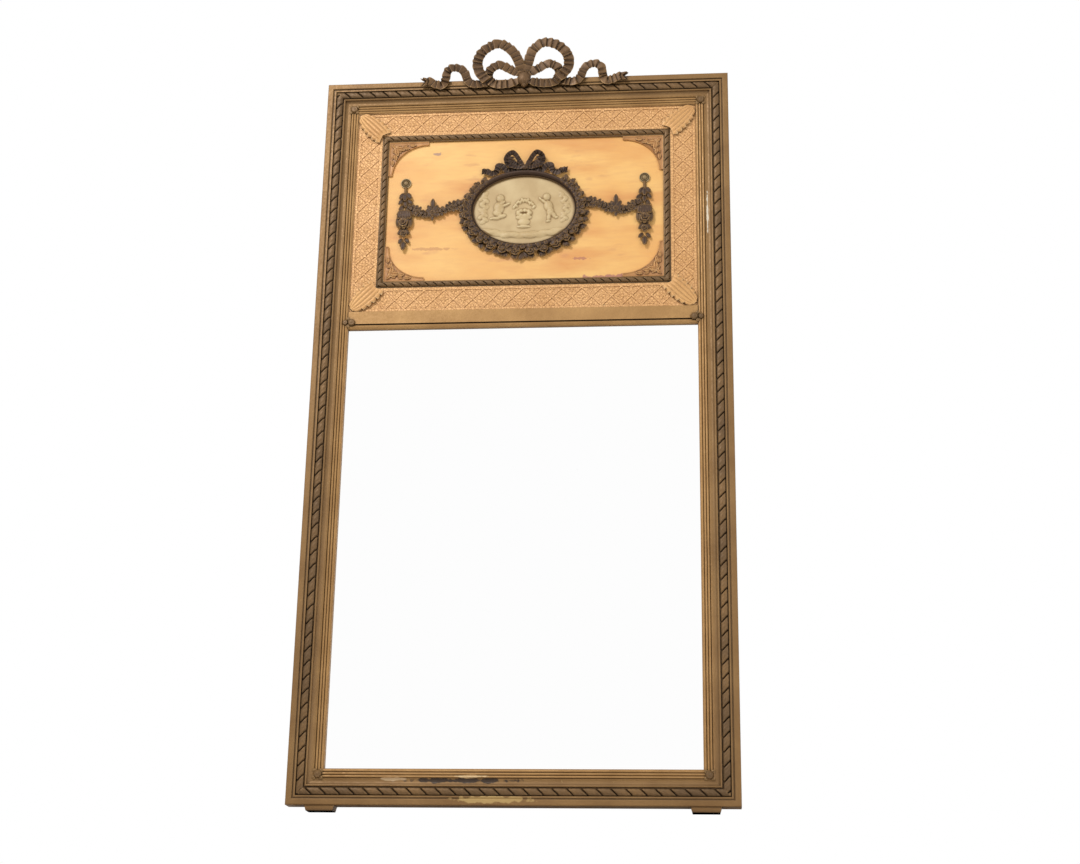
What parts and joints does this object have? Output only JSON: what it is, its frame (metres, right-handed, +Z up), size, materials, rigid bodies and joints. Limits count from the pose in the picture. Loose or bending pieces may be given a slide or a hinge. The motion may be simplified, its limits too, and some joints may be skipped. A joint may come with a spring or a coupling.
{
  "type": "trumeau mirror",
  "caption": "Tall mitred gilt frame with twisted rope moulding, looking glass below an ornamented painted panel with an oval plaque, and a carved ribbon bow on top.",
  "frame": {"origin": "below the middle of the whole, at the soles of the feet and at mid depth between the crest knot and the hanger eyes", "axes": "+Z up along the height, -Y to the front where the glass looks, +X to the right seen from the front"},
  "size_m": [0.84, 0.0626, 1.6074],
  "materials": {
    "gilt_moulding": "aged bronze-gilt paint on moulded wood",
    "bronzed_carving": "aged bronze paint on carved wood",
    "gold_lattice": "pale gold paint on moulded relief",
    "dark_bronze_ornament": "dark bronzed relief",
    "amber_panel": "mottled amber gold paint",
    "cream_plaque": "matt cream relief",
    "looking_glass": "old silvered glass",
    "bare_pine": "aged bare softwood",
    "cut_nail_iron": "dark iron",
    "hanger_brass": "tarnished brass",
    "screw_steel": "dull steel"
  },
  "bodies": {
    "mirror": {"stile_left": "gilt_moulding", "stile_right": "gilt_moulding", "rail_top": "gilt_moulding", "rail_bottom": "gilt_moulding", "cross_rail": "gilt_moulding", "rope_bottom": "bronzed_carving", "rope_right": "bronzed_carving", "rope_top": "bronzed_carving", "rope_left": "bronzed_carving", "corner_rosettes": "bronzed_carving", "cross_rail_bosses": "bronzed_carving", "panel_board": "amber_panel", "lattice_bottom": "gold_lattice", "lattice_right": "gold_lattice", "lattice_top": "gold_lattice", "lattice_left": "gold_lattice", "leaf_top_left": "gold_lattice", "leaf_top_right": "gold_lattice", "leaf_bottom_left": "gold_lattice", "leaf_bottom_right": "gold_lattice", "panel_rope_bottom": "bronzed_carving", "panel_rope_right": "bronzed_carving", "panel_rope_top": "bronzed_carving", "panel_rope_left": "bronzed_carving", "spandrel_top_left": "gold_lattice", "spandrel_top_right": "gold_lattice", "spandrel_bottom_left": "gold_lattice", "spandrel_bottom_right": "gold_lattice", "plaque": "cream_plaque", "medallion_moulding": "dark_bronze_ornament", "wreath_left": "dark_bronze_ornament", "wreath_right": "dark_bronze_ornament", "medallion_bow": "dark_bronze_ornament", "swag_left": "dark_bronze_ornament", "swag_right": "dark_bronze_ornament", "drop_left": "dark_bronze_ornament", "drop_right": "dark_bronze_ornament", "crest_bow_left": "bronzed_carving", "crest_bow_right": "bronzed_carving", "crest_tail_left": "bronzed_carving", "crest_tail_right": "bronzed_carving", "crest_knot": "bronzed_carving", "mirror_glass": "looking_glass", "back_plank_1": "bare_pine", "back_plank_2": "bare_pine", "back_plank_3": "bare_pine", "panel_batten_lower": "bare_pine", "panel_batten_upper": "bare_pine", "glazing_blocks": "bare_pine", "mitre_keys": "bare_pine", "crest_pegs": "bare_pine", "foot_left": "gilt_moulding", "foot_right": "gilt_moulding", "back_nails": "cut_nail_iron", "foot_nails": "cut_nail_iron", "hanger_plate_left": "hanger_brass", "hanger_plate_right": "hanger_brass", "hanger_screws": "screw_steel"},
    "ring_left": {"hanger_ring_left": "hanger_brass"},
    "ring_right": {"hanger_ring_right": "hanger_brass"}
  },
  "joints": [
    {"name": "ring_left_swing", "type": "hinge", "parent": "mirror", "child": "ring_left", "pos_m": [-0.396, 0.0269, 1.2], "axis": [1, 0, 0], "range_deg": [-8, 180]},
    {"name": "ring_right_swing", "type": "hinge", "parent": "mirror", "child": "ring_right", "pos_m": [0.396, 0.0269, 1.2], "axis": [1, 0, 0], "range_deg": [-8, 180]}
  ]
}
